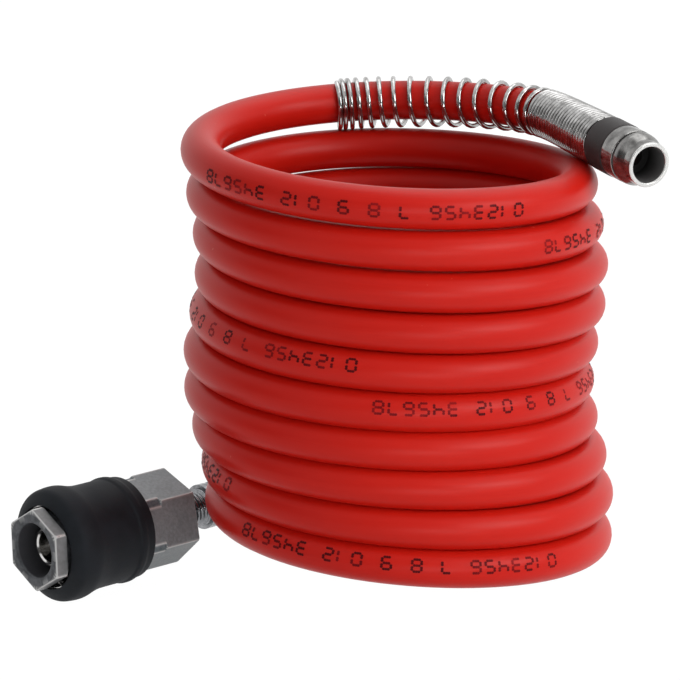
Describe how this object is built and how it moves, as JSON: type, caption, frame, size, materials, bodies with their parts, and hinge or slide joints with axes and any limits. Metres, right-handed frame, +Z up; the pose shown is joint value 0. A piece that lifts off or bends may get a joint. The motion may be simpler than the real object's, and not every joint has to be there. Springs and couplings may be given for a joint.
{
  "type": "coiled air hose",
  "caption": "Coiled compressed-air hose with a sprung kink guard and plug at one end and a ball-lock quick coupler at the other.",
  "frame": {"origin": "centre of the bounding box, on the ground that the object stands on", "axes": "+X from the coupler's side to the plug's side, -Y towards the front that the picture shows, +Z up"},
  "size_m": [0.1382, 0.0842, 0.0949],
  "materials": {
    "hose": "clear-toned red polyurethane, satin gloss",
    "plated": "bright plated steel",
    "black_collar": "matte black",
    "spring_wire": "drawn spring wire",
    "steel": "turned and blasted steel",
    "grip_rubber": "matte black moulded rubber",
    "seal_rubber": "black nitrile rubber",
    "brass": "turned brass",
    "hard_steel": "polished bearing balls"
  },
  "bodies": {
    "coupler_end": {"hose_coil": "hose", "hose_coupler_end": "hose", "coupler_barrel": "steel", "coupler_body": "steel", "mouth_seal": "seal_rubber", "barrel_seal": "seal_rubber", "threaded_stem": "plated", "crimp_ferrule": "plated", "sleeve_spring": "spring_wire", "valve_spring": "spring_wire"},
    "sleeve": {"locking_sleeve": "steel", "sleeve_grip": "grip_rubber"},
    "ball_1": {"lock_ball_1": "hard_steel"},
    "ball_2": {"lock_ball_2": "hard_steel"},
    "ball_3": {"lock_ball_3": "hard_steel"},
    "ball_4": {"lock_ball_4": "hard_steel"},
    "ball_5": {"lock_ball_5": "hard_steel"},
    "ball_6": {"lock_ball_6": "hard_steel"},
    "valve": {"valve_poppet": "brass", "valve_seal": "seal_rubber"},
    "plug_end": {"plug_nipple": "plated", "plug_band": "black_collar", "kink_guard": "spring_wire", "hose_plug_end": "hose"}
  },
  "joints": [
    {"name": "sleeve_slide", "type": "slide", "parent": "coupler_end", "child": "sleeve", "axis": [0.7505, 0.6594, -0.0443], "range_m": [0, 0.0018], "stiffness_N_per_m": 2500, "springref_m": -0.004, "deforming": ["sleeve_spring"]},
    {"name": "ball_1_slide", "type": "slide", "parent": "coupler_end", "child": "ball_1", "axis": [-0.0831, 0.0276, -0.9962], "range_m": [0, 0.0007]},
    {"name": "ball_2_slide", "type": "slide", "parent": "coupler_end", "child": "ball_2", "axis": [-0.6094, 0.6644, -0.4327], "range_m": [0, 0.0007]},
    {"name": "ball_3_slide", "type": "slide", "parent": "coupler_end", "child": "ball_3", "axis": [-0.5263, 0.6368, 0.5635], "range_m": [0, 0.0007]},
    {"name": "ball_4_slide", "type": "slide", "parent": "coupler_end", "child": "ball_4", "axis": [0.0831, -0.0276, 0.9962], "range_m": [0, 0.0007]},
    {"name": "ball_5_slide", "type": "slide", "parent": "coupler_end", "child": "ball_5", "axis": [0.6094, -0.6644, 0.4327], "range_m": [0, 0.0007]},
    {"name": "ball_6_slide", "type": "slide", "parent": "coupler_end", "child": "ball_6", "axis": [0.5263, -0.6368, -0.5635], "range_m": [0, 0.0007]},
    {"name": "valve_slide", "type": "slide", "parent": "coupler_end", "child": "valve", "axis": [0.7505, 0.6594, -0.0443], "range_m": [0, 0.0112], "stiffness_N_per_m": 600, "springref_m": -0.008, "deforming": ["valve_spring"]},
    {"name": "coil_stretch", "type": "slide", "parent": "coupler_end", "child": "plug_end", "axis": [0.1144, 0, 0.9934], "range_m": [0, 1], "stiffness_N_per_m": 2.5, "springref_m": -0.3, "deforming": ["hose_coil"]}
  ],
  "couplings": [
    {"joint": "ball_1_slide", "follows": "sleeve_slide", "ratio": 0.3889},
    {"joint": "ball_2_slide", "follows": "sleeve_slide", "ratio": 0.3889},
    {"joint": "ball_3_slide", "follows": "sleeve_slide", "ratio": 0.3889},
    {"joint": "ball_4_slide", "follows": "sleeve_slide", "ratio": 0.3889},
    {"joint": "ball_5_slide", "follows": "sleeve_slide", "ratio": 0.3889},
    {"joint": "ball_6_slide", "follows": "sleeve_slide", "ratio": 0.3889}
  ]
}
